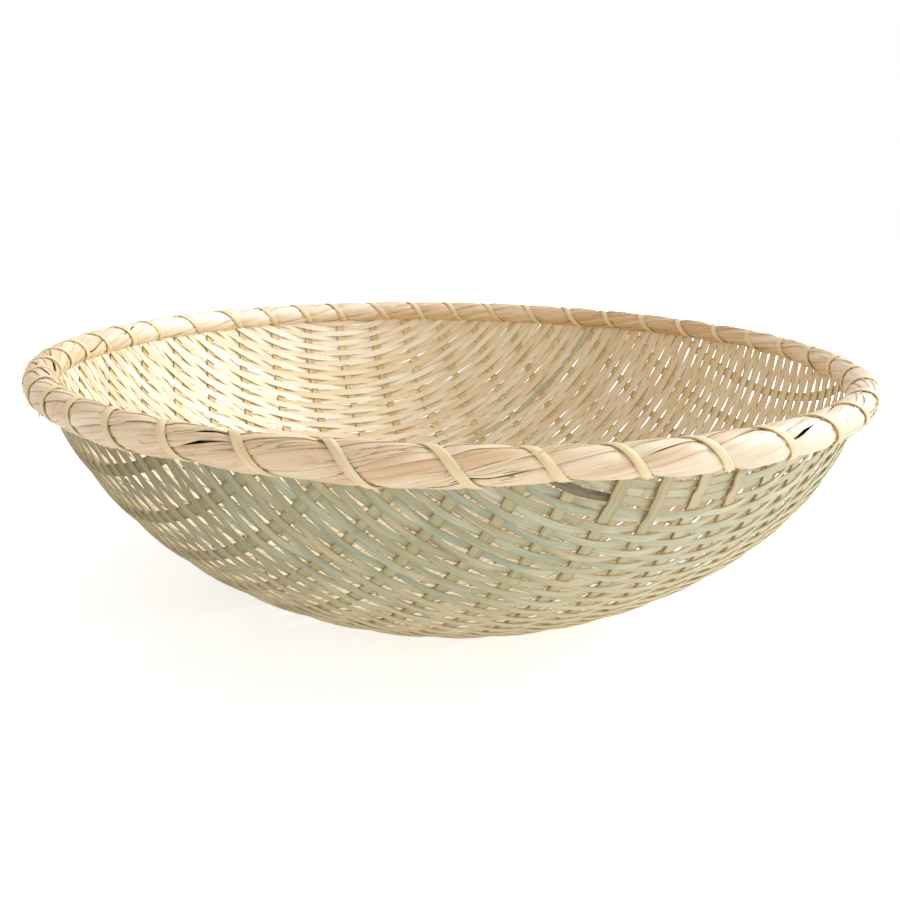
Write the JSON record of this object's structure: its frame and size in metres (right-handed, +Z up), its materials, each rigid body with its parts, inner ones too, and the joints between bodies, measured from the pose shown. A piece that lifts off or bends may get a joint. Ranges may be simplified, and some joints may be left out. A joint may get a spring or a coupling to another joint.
{
  "type": "zaru bamboo basket",
  "caption": "Wide shallow round bamboo draining basket: strips woven into an open bowl with a wrapped and laced rim, standing on its flat woven floor.",
  "frame": {"origin": "centre of the basket's bounding box, on the plane it stands on", "axes": "+Z up along the bowl's axis, warps along Y, wefts along X"},
  "size_m": [0.3655, 0.3656, 0.1148],
  "materials": {
    "warp": "matt split bamboo, olive green",
    "weft": "matt split bamboo, straw inside and grey green outside",
    "hoop": "matt bamboo",
    "wrap": "satin thin bamboo strip, pale straw",
    "lacing": "satin thin bamboo strip, pale straw"
  },
  "bodies": {
    "root": {"warp_01": "warp", "warp_02": "warp", "warp_03": "warp", "warp_04": "warp", "warp_05": "warp", "warp_06": "warp", "warp_07": "warp", "warp_08": "warp", "warp_09": "warp", "warp_10": "warp", "warp_11": "warp", "warp_12": "warp", "warp_13": "warp", "warp_14": "warp", "warp_15": "warp", "warp_16": "warp", "warp_17": "warp", "warp_18": "warp", "warp_19": "warp", "weft_01": "weft", "weft_02": "weft", "weft_03": "weft", "weft_04": "weft", "weft_05": "weft", "weft_06": "weft", "weft_07": "weft", "weft_08": "weft", "weft_09": "weft", "weft_10": "weft", "weft_11": "weft", "weft_12": "weft", "weft_13": "weft", "weft_14": "weft", "weft_15": "weft", "weft_16": "weft", "weft_17": "weft", "weft_18": "weft", "weft_19": "weft", "weft_20": "weft", "weft_21": "weft", "weft_22": "weft", "weft_23": "weft", "weft_24": "weft", "weft_25": "weft", "weft_26": "weft", "weft_27": "weft", "rim_outer_hoop": "hoop", "rim_inner_hoop": "hoop", "rim_wrap_1": "wrap", "rim_wrap_2": "wrap", "rim_wrap_3": "wrap", "rim_wrap_4": "wrap", "rim_wrap_5": "wrap", "rim_wrap_6": "wrap", "lacing": "lacing"}
  },
  "joints": []
}
